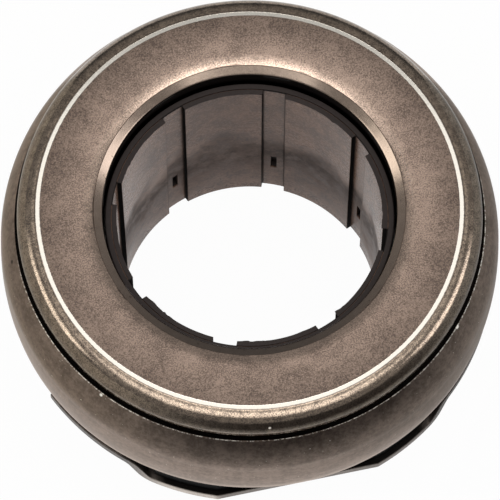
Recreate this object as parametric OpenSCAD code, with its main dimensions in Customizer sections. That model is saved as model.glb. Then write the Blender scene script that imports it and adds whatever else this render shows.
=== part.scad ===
// Clutch release bearing: a flanged contact ring turns on a row of caged balls in a fixed outer ring.
// The outer ring is clamped to a moulded guide sleeve, with a joggled fork plate behind it.
// Millimetres, +Z towards the clutch. The origin is on the axis, at the sleeve's rear end.

/* [Guide sleeve] */
// Diameter of the guide tube that the sleeve slides on
guide_tube_d = 42; // [36:0.5:48]
// Radial clearance between the tube and the sleeve's pads
slide_clearance = 0.05; // [0.05:0.01:0.3]
// Number of pads, and of grooves between them
pad_count = 8; // [6:1:10]
// Width of each axial groove
groove_w = 3.8; // [2:0.1:5]
// Depth of each axial groove
groove_depth = 0.75; // [0.3:0.05:1]
// Wall of the front tube outside the grooves
front_wall = 1.05; // [0.6:0.05:2]
// Extra wall of the rear tube
rear_step = 1.15; // [0.9:0.05:3]
// Length of the tube behind the fork plate
rear_tube_l = 15.2; // [13:0.1:25]
// How far the front end of the tube lies below the contact face
front_recess = 3.9; // [3:0.1:8]
// Bevel at both ends of the bore
bore_bevel = 0.2; // [0.1:0.05:0.6]
// Bevel at the rear end's outside edge
rear_bevel = 1.2; // [0.4:0.1:2]
// Width of the pocket in each groove floor
pocket_w = 1; // [0.8:0.1:1.8]
// Height of the pocket in each groove floor
pocket_h = 4.5; // [2:0.1:6]
// Depth of the pocket below the groove floor
pocket_depth = 1.2; // [0.5:0.1:1.4]
// Height of the pocket's middle above the rear end
pocket_z = 10; // [6:0.1:11]
// Thickness of the collar that carries the outer ring
collar_t = 1.9; // [1.5:0.1:4]
// How far the collar stops short of the outer ring's outside
collar_inset = 1.2; // [0.5:0.1:4]
// How far the cheeks on the fork plate stop short of the plate's flats
cheek_inset = 0.9; // [0.4:0.1:4]
// Gap between a cheek's side and the foot of the joggle
cheek_gap = 0.4; // [0.2:0.1:2]
// Width of each hook that holds the fork plate from behind
hook_w = 8; // [5:0.5:12]
// How far each hook stands out
hook_out = 0.9; // [0.5:0.1:1.5]
// Length of each hook's ramp
hook_l = 2.2; // [1.5:0.1:4]

/* [Fork plate] */
// Thickness of the pressed plate
plate_t = 1.7; // [1.2:0.1:3]
// How far the plate's rim stops short of the outer ring's outside
plate_inset = 0.3; // [0:0.1:2]
// Depth of each flat behind the plate's round rim
flat_depth = 2.25; // [1:0.05:4]
// Height that the raised tabs stand above the lugs
joggle_step = 3.7; // [2.5:0.1:6]
// Distance of the middle of each joggle from the axis
joggle_x = 24.6; // [24:0.1:27]
// Slope of each joggle
joggle_angle = 60; // [40:1:60]
// Inside radius of the joggle's bends
bend_r = 0.8; // [0.4:0.1:1.2]
// Half angle of the cut-out at each side
side_cut_angle = 24; // [12:1:28]
// Depth of the cut-out at each side
side_cut_depth = 5.3; // [3:0.1:8]
// Radial clearance of the plate's hole round the sleeve
plate_clearance = 0.1; // [0.05:0.05:0.5]

/* [Balls and cage] */
// Number of balls
ball_count = 16; // [10:1:17]
// Diameter of a ball
ball_d = 8.73; // [7:0.01:10]
// Clearance between a ball and the raceways
race_clearance = 0.1; // [0.05:0.01:0.2]
// Clearance between a ball and its pocket in the cage
pocket_clearance = 0.15; // [0.1:0.01:0.3]
// Radial thickness of the cage
cage_t = 2.2; // [1.6:0.1:2.6]
// Thickness of the cage under a ball
cage_floor = 0.9; // [0.7:0.05:3]
// Height of the cage's prongs above the middle of the balls
prong_h = 2; // [1:0.1:2.6]
// Width of the notch between two pockets
notch_w = 1.6; // [0.8:0.1:2]

/* [Contact ring] */
// Radial gap between the sleeve and the contact ring's bore
ring_gap = 0.3; // [0.25:0.05:1]
// Wall between the bore and the bottom of the raceway
race_wall = 3.05; // [2.5:0.05:6]
// Height of the low land behind the raceway
low_land = 1.3; // [0.5:0.1:2]
// How far each loaded shoulder stops short of the balls' pitch circle
shoulder_inset = 0.7; // [0.5:0.1:1.2]
// Height of the contact face above the flange's underside
flange_t = 5; // [4.2:0.1:8]
// Width of the bright ground land on the face
land_w = 0.63; // [0.4:0.01:2]
// Width of the slope from the ground land to the shoulder's curve
land_slope_w = 0.25; // [0.1:0.05:1]
// Drop from the ground land to the shoulder's curve
land_drop = 0.05; // [0.02:0.01:0.2]
// Radius of the flange's outer shoulder
shoulder_r = 2.84; // [1.5:0.01:3.5]
// Drop of the dished face from the ground land to its inner edge
dish_depth = 0.5; // [0.1:0.05:1]
// Width of the roll-off at the inner edge of the face
rolloff_w = 1.5; // [0.5:0.1:4]
// Drop of the face within the roll-off
rolloff_drop = 0.18; // [0.02:0.01:0.4]
// Width of the bevel from the face to the bore
bevel_w = 1.45; // [1:0.05:3]
// Slope of that bevel
bevel_angle = 26; // [10:1:40]
// Radius of the edge between the bevel and the bore
edge_r = 0.4; // [0.3:0.1:0.8]
// Bevel at the rear end of the contact ring
end_bevel = 0.4; // [0.2:0.1:1]

/* [Outer ring] */
// Wall between the bottom of the raceway and the outside
outer_wall = 4.57; // [3.5:0.01:8]
// Height of the crown's curve below the front edge
crown_h = 7.5; // [5:0.1:10]
// How far the crown draws in at the front edge
crown_draw = 2.41; // [1:0.01:3]
// Width of the flat front lip
lip_w = 0.15; // [0.1:0.05:0.6]
// Radial gap between the flange and the outer ring's mouth
mouth_gap = 0.4; // [0.3:0.05:0.8]
// Depth to which the flange dips into the mouth
mouth_dip = 0.3; // [0.2:0.1:1.2]
// Bulge of the foot past the crown
foot_bulge = 0.14; // [0.05:0.01:0.4]
// Height of the bulge above the ring's base
bulge_z = 4.5; // [2:0.1:7]
// How far the foot tucks in from the bulge to the base
foot_tuck = 0.25; // [0.1:0.05:0.8]
// Radius of the edge at the base
foot_edge_r = 0.4; // [0.2:0.1:1]
// Thickness of the inward rear flange
rear_flange_t = 1.8; // [1.2:0.1:4]
// Radial gap between the sleeve and the rear flange
hub_gap = 0.3; // [0.2:0.05:1]
// Height of the lip that keeps the balls in from the front
front_lip = 0.2; // [0.1:0.05:0.5]

/* [Seals and washer] */
// Thickness of the front seal
front_seal_t = 0.7; // [0.5:0.1:2]
// Width of the front seal's seat below the mouth
front_seat_w = 0.8; // [0.4:0.1:1.2]
// Thickness of the rear seal
rear_seal_t = 0.8; // [0.5:0.1:2]
// Width of the ledge under the rear seal
ledge_w = 2.4; // [1:0.1:3]
// Gap between a seal's lip and the contact ring
lip_gap = 0.3; // [0.2:0.05:0.5]
// Gap between a seal and its seat's wall
seat_fit = 0.02; // [0.01:0.01:0.05]
// Axial gap that moving pieces keep from the seals and the washer
run_gap = 0.35; // [0.3:0.05:0.8]
// Thickness of the retaining washer
washer_t = 0.8; // [0.5:0.1:1.5]
// Radial width of the retaining washer
washer_w = 3.35; // [2.5:0.05:4]
// Number of slots in the washer's inner edge
washer_slots = 10; // [6:1:16]
// Width of a washer slot
washer_slot_w = 1.2; // [0.8:0.1:2]
// Depth of a washer slot
washer_slot_d = 1.6; // [0.8:0.1:2]

/* [Hidden] */
$fn = 120;
// Straight steps in each bend of the plate
bend_steps = 8;
// Overrun of a cutting solid past the faces it opens
cut = 1;
steel_face = [0.50, 0.44, 0.40];
steel_ring = [0.38, 0.34, 0.31];
steel_plate = [0.46, 0.44, 0.42];
steel_bright = [0.75, 0.75, 0.76];
black_plastic = [0.17, 0.16, 0.16];
cage_plastic = [0.72, 0.64, 0.48];
seal_rubber = [0.12, 0.12, 0.12];

// Radii of the sleeve, from the guide tube outwards
bore_r = guide_tube_d / 2 + slide_clearance;
groove_r = bore_r + groove_depth;
front_r = groove_r + front_wall;
rear_r = front_r + rear_step;

// Radii of the bearing, from the sleeve outwards
ball_r = ball_d / 2;
track_r = ball_r + race_clearance;
contact_bore_r = front_r + ring_gap;
race_r = contact_bore_r + race_wall;
pitch_r = race_r + track_r;
outer_race_r = pitch_r + track_r;
outer_r = outer_race_r + outer_wall;
low_land_r = race_r + low_land;
neck_r = pitch_r - shoulder_inset;
rear_seat_r = pitch_r + shoulder_inset;
lip_r = outer_r - crown_draw;
mouth_r = lip_r - lip_w;
flange_r = mouth_r - mouth_gap;
front_seat_r = mouth_r - front_seat_w;
hub_r = front_r + hub_gap;
crown_r = (crown_h * crown_h + crown_draw * crown_draw) / (2 * crown_draw);
base_r = outer_r + foot_bulge - foot_tuck;

// Heights, stacked from the sleeve's rear end to the contact face
lug_z = rear_tube_l;
lug_top_z = lug_z + plate_t;
tab_z = lug_z + joggle_step;
collar_z = tab_z + plate_t;
ring_z = collar_z + collar_t;
hub_top_z = ring_z + rear_flange_t;
washer_top_z = hub_top_z + washer_t;
contact_end_z = washer_top_z + run_gap;
rear_seal_z = contact_end_z + end_bevel;
rear_seal_top_z = rear_seal_z + rear_seal_t;
cage_z = rear_seal_top_z + run_gap;
cage_pocket_r = ball_r + pocket_clearance;
ball_z = cage_z + cage_floor + cage_pocket_r;
front_seal_z = ball_z + ball_r + run_gap;
front_seal_top_z = front_seal_z + front_seal_t;
flange_z = front_seal_top_z + run_gap;
ring_top_z = flange_z + mouth_dip;
face_z = flange_z + flange_t;
sleeve_top_z = face_z - front_recess;
crown_z = ring_top_z - crown_h;

// Radii of the contact face's zones
shoulder_x = flange_r - shoulder_r;
land_out_r = shoulder_x - land_slope_w;
land_in_r = land_out_r - land_w;
bevel_r = contact_bore_r + bevel_w;
rolloff_r = bevel_r + rolloff_w;
dish_z = face_z - dish_depth;

// Outline of the fork plate
plate_r = outer_r - plate_inset;
flat_y = plate_r - flat_depth;
side_cut_r = plate_r - side_cut_depth;
plate_hole_r = rear_r + plate_clearance;

// Joggle of the fork plate: two equal bends on the middle of the sheet, with a straight ramp between them
bend_out_r = bend_r + plate_t;
mid_r = bend_r + plate_t / 2;
bend_rise = mid_r * (1 - cos(joggle_angle));
bend_run = mid_r * sin(joggle_angle);
ramp_rise = joggle_step - 2 * bend_rise;
ramp_run = ramp_rise / tan(joggle_angle);
low_x = joggle_x - bend_run - ramp_run / 2;
high_x = joggle_x + bend_run + ramp_run / 2;

// Cage radii, under the loaded shoulder of the outer ring
cage_out_r = rear_seat_r - run_gap;
cage_in_r = cage_out_r - cage_t;

BALLS = [for (i = [1 : ball_count]) str("ball_", i < 10 ? "0" : "", i)];

// Quarter disc round a centre: side 1 faces away from the axis, side -1 faces the axis
module quarter(x, z, r, side) {
    translate([x, z])
        intersection() {
            circle(r);
            translate([side > 0 ? 0 : -r, 0]) square(r);
        }
}

// Straight slab in the plane of a section, between two corners
module slab(x0, z0, x1, z1) {
    translate([x0, z0]) square([x1 - x0, z1 - z0]);
}

// Inner ring and flange in one: dished face, ground land, round shoulder and angular raceway
module contact_ring() {
    edge_x = contact_bore_r + edge_r;
    tangent_x = edge_x - edge_r * sin(bevel_angle);
    tangent_z = dish_z - (bevel_r - tangent_x) * tan(bevel_angle);
    edge_z = tangent_z - edge_r * cos(bevel_angle);
    shoulder_z = face_z - land_drop - shoulder_r;
    color(steel_face)
        rotate_extrude()
            difference() {
                union() {
                    polygon([
                        [contact_bore_r, contact_end_z + end_bevel],
                        [contact_bore_r + end_bevel, contact_end_z],
                        [low_land_r - end_bevel, contact_end_z],
                        [low_land_r, contact_end_z + end_bevel],
                        [low_land_r, ball_z],
                        [neck_r, ball_z],
                        [neck_r, flange_z],
                        [flange_r, flange_z],
                        [flange_r, shoulder_z],
                        [shoulder_x, face_z - land_drop],
                        [land_out_r, face_z],
                        [land_in_r, face_z],
                        [rolloff_r, dish_z + rolloff_drop],
                        [bevel_r, dish_z],
                        [tangent_x, tangent_z],
                        [contact_bore_r, edge_z]
                    ]);
                    quarter(edge_x, edge_z, edge_r, -1);
                    quarter(shoulder_x, shoulder_z, shoulder_r, 1);
                }
                translate([pitch_r, ball_z]) circle(track_r);
            }
}

// Outside of the outer ring: curved crown, slightly bulged foot and a rounded base edge
module outer_ring_outside() {
    edge_x = base_r - foot_edge_r;
    intersection() {
        translate([outer_r - crown_r, crown_z]) circle(crown_r);
        slab(hub_r, crown_z, outer_r, ring_top_z);
    }
    polygon([
        [hub_r, ring_z],
        [edge_x, ring_z],
        [base_r, ring_z + foot_edge_r],
        [outer_r + foot_bulge, ring_z + bulge_z],
        [outer_r, crown_z],
        [hub_r, crown_z]
    ]);
    translate([0, 2 * (ring_z + foot_edge_r)])
        mirror([0, 1])
            quarter(edge_x, ring_z + foot_edge_r, foot_edge_r, 1);
}

// Fixed outer ring: mouth, seal seats, angular raceway and an inward flange that rests on the collar
module outer_ring() {
    cavity_r = rear_seat_r - ledge_w;
    front_bore_r = outer_race_r - front_lip;
    color(steel_ring)
        rotate_extrude()
            difference() {
                outer_ring_outside();
                slab(0, hub_top_z, cavity_r, rear_seal_z);
                slab(0, rear_seal_z, rear_seat_r, ball_z);
                slab(0, ball_z, front_bore_r, front_seal_z);
                slab(0, front_seal_z, front_seat_r, front_seal_top_z);
                slab(0, front_seal_top_z, mouth_r, ring_top_z + cut);
                translate([pitch_r, ball_z]) circle(track_r);
            }
}

// Axial grooves between the pads, each with a pocket in its floor
module sleeve_grooves() {
    for (i = [0 : pad_count - 1])
        rotate((i + 0.5) * 360 / pad_count) {
            intersection() {
                translate([0, -groove_w / 2, -cut]) cube([groove_r + cut, groove_w, sleeve_top_z + 2 * cut]);
                translate([0, 0, -2 * cut]) cylinder(r = groove_r, h = sleeve_top_z + 4 * cut);
            }
            translate([0, -pocket_w / 2, pocket_z - pocket_h / 2])
                cube([groove_r + pocket_depth, pocket_w, pocket_h]);
        }
}

// Cheeks that fill the step between the collar and the two lugs of the fork plate
module sleeve_cheeks(collar_r) {
    cheek_x = low_x - cheek_gap;
    cheek_y = flat_y - cheek_inset;
    intersection() {
        translate([0, 0, lug_top_z]) cylinder(r = collar_r, h = collar_z - lug_top_z);
        translate([-cheek_x, -cheek_y, lug_z]) cube([2 * cheek_x, 2 * cheek_y, collar_z]);
    }
}

// Height of the plate's underside at a distance from the middle, on the joggle's low bend or its ramp
function underside(x) =
    let (run = max(0, x - low_x), bend = bend_out_r * sin(joggle_angle))
    run < bend
        ? lug_z + bend_out_r - sqrt(bend_out_r * bend_out_r - run * run)
        : lug_z + bend_out_r * (1 - cos(joggle_angle)) + (run - bend) * tan(joggle_angle);

// Ramped hooks under the two joggles, clear of the lugs' rear faces
module sleeve_hooks() {
    hook_top = underside(plate_hole_r) - plate_clearance;
    hook_reach = rear_r + hook_out + cut;
    intersection() {
        translate([0, 0, hook_top - hook_l]) cylinder(r1 = rear_r, r2 = rear_r + hook_out, h = hook_l);
        translate([-hook_reach, -hook_w / 2, 0]) cube([2 * hook_reach, hook_w, hook_top]);
    }
}

// Moulded sleeve: grooved bore, front tube inside the bearing, collar, cheeks, hooks and rear tube
module guide_sleeve() {
    collar_r = outer_r - collar_inset;
    color(black_plastic)
        difference() {
            union() {
                rotate_extrude()
                    polygon([
                        [0, 0],
                        [rear_r - rear_bevel, 0],
                        [rear_r, rear_bevel],
                        [rear_r, collar_z],
                        [collar_r, collar_z],
                        [collar_r, ring_z],
                        [front_r, ring_z],
                        [front_r, sleeve_top_z],
                        [0, sleeve_top_z]
                    ]);
                sleeve_cheeks(collar_r);
                sleeve_hooks();
            }
            translate([0, 0, -cut]) cylinder(r = bore_r, h = sleeve_top_z + 2 * cut);
            cylinder(r1 = bore_r + bore_bevel, r2 = bore_r, h = bore_bevel);
            translate([0, 0, sleeve_top_z - bore_bevel])
                cylinder(r1 = bore_r, r2 = bore_r + bore_bevel, h = bore_bevel);
            sleeve_grooves();
        }
}

// Points along an arc round a centre, from one angle to another
function arc(centre, r, from, to) =
    [for (i = [0 : bend_steps]) let (a = from + (to - from) * i / bend_steps) centre + r * [cos(a), sin(a)]];

// Section of the plate across the lugs: lug level in the middle, a bent ramp and tab level at each side
module joggle_section() {
    low_centre = [low_x, lug_top_z + bend_r];
    high_centre = [high_x, tab_z - bend_r];
    right = concat(
        arc(low_centre, bend_out_r, -90, joggle_angle - 90),
        arc(high_centre, bend_r, joggle_angle + 90, 90),
        [[plate_r + cut, tab_z], [plate_r + cut, collar_z]],
        arc(high_centre, bend_out_r, 90, joggle_angle + 90),
        arc(low_centre, bend_r, joggle_angle - 90, -90)
    );
    left = [for (i = [len(right) - 1 : -1 : 0]) [-right[i].x, right[i].y]];
    polygon(concat(right, left));
}

// Flat outline of the plate: round rim, two flats, side cut-outs and the hole for the sleeve
module plate_outline() {
    reach = plate_r + cut;
    wedge_y = reach * tan(side_cut_angle);
    difference() {
        intersection() {
            circle(plate_r);
            square([2 * reach, 2 * flat_y], center = true);
        }
        difference() {
            for (side = [-1, 1])
                polygon([[0, 0], [side * reach, -wedge_y], [side * reach, wedge_y]]);
            circle(side_cut_r);
        }
        circle(plate_hole_r);
    }
}

// Pressed plate: the flat outline joggled so that the lugs lie behind the tabs
module fork_plate() {
    color(steel_plate)
        intersection() {
            linear_extrude(collar_z + cut) plate_outline();
            translate([0, plate_r + cut, 0])
                rotate([90, 0, 0])
                    linear_extrude(2 * (plate_r + cut)) joggle_section();
        }
}

// Position of a ball on the pitch circle
module at_ball(i) {
    rotate((i - 1) * 360 / ball_count)
        translate([pitch_r, 0, ball_z])
            children();
}

module ball(i) {
    color(steel_bright) at_ball(i) sphere(d = ball_d);
}

// Crown cage: a ring with round pockets that open to the front, and a notch between each two prongs
module ball_cage() {
    cage_top = ball_z + prong_h;
    color(cage_plastic)
        difference() {
            rotate_extrude() slab(cage_in_r, cage_z, cage_out_r, cage_top);
            for (i = [1 : ball_count]) {
                at_ball(i) sphere(r = cage_pocket_r);
                rotate(180 / ball_count)
                    at_ball(i) {
                        translate([-cage_t * 2, -notch_w / 2, 0]) cube([cage_t * 4, notch_w, prong_h + cut]);
                        rotate([0, 90, 0]) cylinder(d = notch_w, h = cage_t * 4, center = true);
                    }
            }
        }
}

// Shield ring on the ledge in the outer ring's mouth, up to the neck under the flange
module front_seal() {
    color(seal_rubber)
        rotate_extrude() slab(neck_r + lip_gap, front_seal_z, front_seat_r - seat_fit, front_seal_top_z);
}

// Seal ring on the ledge behind the balls, up to the low land of the contact ring
module rear_seal() {
    color(seal_rubber)
        rotate_extrude() slab(low_land_r + lip_gap, rear_seal_z, rear_seat_r - seat_fit, rear_seal_top_z);
}

// Push-on spring washer that holds the rear flange on the collar, slotted to grip the sleeve
module retaining_washer() {
    grip_r = front_r + seat_fit;
    color(steel_bright)
        translate([0, 0, hub_top_z])
            linear_extrude(washer_t)
                difference() {
                    circle(front_r + washer_w);
                    circle(grip_r);
                    for (i = [0 : washer_slots - 1])
                        rotate(i * 360 / washer_slots)
                            translate([0, -washer_slot_w / 2])
                                square([grip_r + washer_slot_d, washer_slot_w]);
                }
}

contact_ring();
outer_ring();
guide_sleeve();
fork_plate();
ball_cage();
front_seal();
rear_seal();
retaining_washer();
for (i = [1 : ball_count])
    ball(i);
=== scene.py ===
"""Looks of a clutch release bearing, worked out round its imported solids.

Metres, in the frame of the solids: +Z towards the clutch, with the axis through the origin.
Outlines are written in millimetres, and each mesh is scaled once when it is made.
"""

import math

import bmesh
import bpy
import numpy as np
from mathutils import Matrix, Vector


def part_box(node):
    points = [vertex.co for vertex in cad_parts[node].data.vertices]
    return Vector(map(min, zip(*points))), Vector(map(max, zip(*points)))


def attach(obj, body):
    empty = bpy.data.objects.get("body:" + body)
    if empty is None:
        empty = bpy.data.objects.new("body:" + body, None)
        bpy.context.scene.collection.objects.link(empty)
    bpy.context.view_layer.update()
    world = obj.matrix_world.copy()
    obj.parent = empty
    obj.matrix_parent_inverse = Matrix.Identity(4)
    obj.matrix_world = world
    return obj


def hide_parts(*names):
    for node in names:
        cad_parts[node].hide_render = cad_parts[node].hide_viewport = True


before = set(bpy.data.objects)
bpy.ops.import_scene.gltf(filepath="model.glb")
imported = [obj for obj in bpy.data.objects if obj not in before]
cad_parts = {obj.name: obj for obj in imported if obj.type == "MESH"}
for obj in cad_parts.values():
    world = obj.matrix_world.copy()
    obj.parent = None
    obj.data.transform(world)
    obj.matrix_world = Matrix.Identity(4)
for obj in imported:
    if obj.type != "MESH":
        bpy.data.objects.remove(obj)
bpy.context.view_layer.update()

MM = 0.001
FULL_TURN = 2 * math.pi
X, Y, Z = range(3)


def box_mm(node):
    """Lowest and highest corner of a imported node, in millimetres."""
    low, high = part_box(node)
    return np.array(low) / MM, np.array(high) / MM


# Main sizes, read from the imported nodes
contact_low, contact_high = box_mm("contact_ring")
outer_low, outer_high = box_mm("outer_ring")
plate_low, plate_high = box_mm("fork_plate")
ball_low, ball_high = box_mm("ball_01")
front_seal_low, front_seal_high = box_mm("front_seal")
sleeve_high = box_mm("guide_sleeve")[1]
washer_low = box_mm("retaining_washer")[0]
rear_seal_low = box_mm("rear_seal")[0]

FACE_Z = contact_high[Z]
CONTACT_END_Z = contact_low[Z]
FLANGE_R = contact_high[X]
BALL_R = (ball_high[Z] - ball_low[Z]) / 2
BALL_Z = (ball_high[Z] + ball_low[Z]) / 2
PITCH_R = (ball_high[X] + ball_low[X]) / 2
RING_Z = outer_low[Z]
RING_TOP_Z = outer_high[Z]
BULGE_R = outer_high[X]
SLEEVE_TOP_Z = sleeve_high[Z]
COLLAR_R = sleeve_high[X]
LUG_Z = plate_low[Z]
COLLAR_Z = plate_high[Z]
FLAT_Y = plate_high[Y]
FRONT_SEAL_Z = front_seal_low[Z]
FRONT_SEAL_TOP_Z = front_seal_high[Z]
REAR_SEAL_Z = rear_seal_low[Z]
HUB_TOP_Z = washer_low[Z]

# Fits and clearances that the pieces share
RACE_CLEARANCE = 0.1
PLATE_CLEARANCE = 0.1
RUN_GAP = 0.35
SHOULDER_INSET = 0.7
TRACK_R = BALL_R + RACE_CLEARANCE

# Contact ring
CONTACT_BORE_R = 23.15
LOW_LAND_R = 27.5
END_BEVEL = 0.4
SHOULDER_R = 2.84
LAND_SLOPE_W = 0.25
LAND_DROP = 0.05
LAND_W = 0.63
DISH_DEPTH = 0.5
ROLLOFF_W = 2.0
ROLLOFF_DROP = 0.2
BEVEL_W = 1.45
BEVEL_ANGLE = 26.0
BEVEL_STEP = 0.09
BEVEL_STEP_W = 0.06
EDGE_R = 0.4
FLANGE_Z = FRONT_SEAL_TOP_Z + RUN_GAP
NECK_R = PITCH_R - SHOULDER_INSET
LAND_OUT_R = FLANGE_R - SHOULDER_R - LAND_SLOPE_W
LAND_IN_R = LAND_OUT_R - LAND_W
BEVEL_R = CONTACT_BORE_R + BEVEL_W
ROLLOFF_R = BEVEL_R + ROLLOFF_W

# Outer ring
FOOT_BULGE = 0.14
FOOT_TUCK = 0.25
FOOT_EDGE_R = 0.4
BULGE_H = 4.5
CROWN_H = 7.5
CROWN_DRAW = 2.41
CROWN_TRIM_ANGLE = 0.3
LIP_W = 0.15
LIP_EDGE = 0.06
HUB_R = 23.15
LEDGE_W = 2.4
FRONT_BORE_INSET = 0.2
FRONT_SEAT_INSET = 0.8
OUTER_R = BULGE_R - FOOT_BULGE
BASE_R = BULGE_R - FOOT_TUCK
BULGE_Z = RING_Z + BULGE_H
LIP_R = OUTER_R - CROWN_DRAW
MOUTH_R = LIP_R - LIP_W
CROWN_Z = RING_TOP_Z - CROWN_H
CROWN_R = (CROWN_H ** 2 + CROWN_DRAW ** 2) / (2 * CROWN_DRAW)
REAR_SEAT_R = PITCH_R + SHOULDER_INSET
FRONT_BORE_R = PITCH_R + TRACK_R - FRONT_BORE_INSET
FRONT_SEAT_R = MOUTH_R - FRONT_SEAT_INSET

# Guide sleeve
BORE_R = 21.05
GROOVE_R = 21.8
FRONT_R = 22.85
REAR_R = 24.0
PAD_COUNT = 8
GROOVE_W = 3.8
POCKET_W = 1.0
POCKET_H = 4.5
POCKET_Z = 10.0
POCKET_DEPTH = 1.2
BORE_BEVEL = 0.2
REAR_BEVEL = 1.2
CHEEK_INSET = 0.9
CHEEK_GAP = 0.4
HOOK_W = 8.0
HOOK_OUT = 0.9
HOOK_L = 2.2
MOULD_EDGE = 0.15
SEAM = 0.02

# Flash: the ragged lip that the mould leaves round the sleeve's front edge
FLASH_REACH = 0.28
FLASH_KNOTS = 420
FLASH_PATCHES = 46
FLASH_BARE = 0.75
FLASH_SEED = 11
FLASH_T = 0.12
CREASE_W = 0.14
CREASE_DEPTH = 0.3
RIDGE_DROP = 0.05

# Fork plate
PLATE_T = 1.7
PLATE_INSET = 0.3
PLATE_EDGE = 0.12
SIDE_CUT_ANGLE = 24.0
SIDE_CUT_DEPTH = 5.3
JOGGLE_X = 24.6
JOGGLE_ANGLE = 60.0
BEND_R = 0.8
PLATE_R = OUTER_R - PLATE_INSET
SIDE_CUT_R = PLATE_R - SIDE_CUT_DEPTH
PLATE_HOLE_R = REAR_R + PLATE_CLEARANCE
LUG_TOP_Z = LUG_Z + PLATE_T
TAB_Z = COLLAR_Z - PLATE_T
BEND_OUT_R = BEND_R + PLATE_T
MID_R = BEND_R + PLATE_T / 2
BEND_RUN = MID_R * math.sin(math.radians(JOGGLE_ANGLE))
BEND_RISE = MID_R * (1 - math.cos(math.radians(JOGGLE_ANGLE)))
RAMP_RUN = (TAB_Z - LUG_Z - 2 * BEND_RISE) / math.tan(math.radians(JOGGLE_ANGLE))
LOW_X = JOGGLE_X - BEND_RUN - RAMP_RUN / 2
HIGH_X = JOGGLE_X + BEND_RUN + RAMP_RUN / 2
CHEEK_X = LOW_X - CHEEK_GAP
CHEEK_Y = FLAT_Y - CHEEK_INSET
FLAT_HALF = math.sqrt(PLATE_R ** 2 - FLAT_Y ** 2)

# Small marks seen on the rings: centre and reach
CROWN_CHIP = ((-28.78, -24.06, 38.16), 0.34)
LIP_NICK = ((27.96, -24.65, 38.5), 0.5)
CROWN_SPOT = ((-38.12, 1.06, 37.12), 0.42)
SHOULDER_NICK = ((-4.49, -36.07, 41.73), 0.3)

# Steps round the axis and along a section
TURN_STEPS = 400
TURN_DIGITS = 7
EVEN_TURNS = np.linspace(0, FULL_TURN, TURN_STEPS, endpoint=False)
MARK_ROOM = math.pi / TURN_STEPS / 2
ARC_STEPS = 12
WIDE_ARC_STEPS = 2 * ARC_STEPS
LONG_ARC_STEPS = 3 * ARC_STEPS
LONG_STEPS = 8
BEND_STEPS = 10
WALL_STEP = 0.1
WALL_GROWTH = 3
WALL_ROWS = 5
NUDGE = 0.000001
WELD_REACH = 0.000001
SHARP_ANGLE = math.radians(28)

# Camera: a long lens looking steeply down on the contact face
CAMERA_AZIMUTH = math.radians(-12)
CAMERA_ELEVATION = math.radians(68.03)
CAMERA_DISTANCE = 0.697
CAMERA_LENS = 319.5
CAMERA_SENSOR = 36.0
CAMERA_NEAR = 0.01
AIM_BELOW = 6.75 * MM
AIM_RIGHT = 0.05 * MM

# Display curve: a straight toe, then a power
DISPLAY_TOP = 255.0
TOE_END = 0.04045
TOE_SLOPE = 12.92
CURVE_SHIFT = 0.055
CURVE_POWER = 2.4

# Sockets of a Mix node that mixes colours
MIX_FACTOR = 0
MIX_UNDER = 6
MIX_OVER = 7
MIX_RESULT = 2

# Middle of a noise, and a square root as a power
NOISE_MIDDLE = 0.5
ROOT = 0.5


def paint(red, green, blue):
    """A display colour from 0 to 255 as scene-linear values, by the display's own curve."""
    share = np.array([red, green, blue]) / DISPLAY_TOP
    curve = ((share + CURVE_SHIFT) / (1 + CURVE_SHIFT)) ** CURVE_POWER
    linear = np.where(share <= TOE_END, share / TOE_SLOPE, curve)
    return (*linear.tolist(), 1.0)


class Signal:
    """A shader socket that takes part in arithmetic: each operation on values adds one Math node."""

    def __init__(self, finish, socket):
        self.finish = finish
        self.socket = socket

    def math(self, operation, left, right=0.0):
        return self.finish.add("ShaderNodeMath", {"operation": operation}, {0: left, 1: right})

    def __add__(self, other):
        return self.math("ADD", self, other)

    def __radd__(self, other):
        return self.math("ADD", other, self)

    def __sub__(self, other):
        return self.math("SUBTRACT", self, other)

    def __rsub__(self, other):
        return self.math("SUBTRACT", other, self)

    def __mul__(self, other):
        return self.math("MULTIPLY", self, other)

    def __rmul__(self, other):
        return self.math("MULTIPLY", other, self)

    def __truediv__(self, other):
        return self.math("DIVIDE", self, other)

    def __rtruediv__(self, other):
        return self.math("DIVIDE", other, self)

    def __pow__(self, other):
        return self.math("POWER", self, other)

    def __abs__(self):
        return self.math("ABSOLUTE", self)


def weighed(signals, weights):
    """The sum of some signals, each times its own weight."""
    first, *rest = [signal * weight for signal, weight in zip(signals, weights)]
    return sum(rest, first)


def towards(value, other, mask):
    """A value moved to another one by a mask: value + (other - value) * mask."""
    return value + (other - value) * mask


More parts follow.
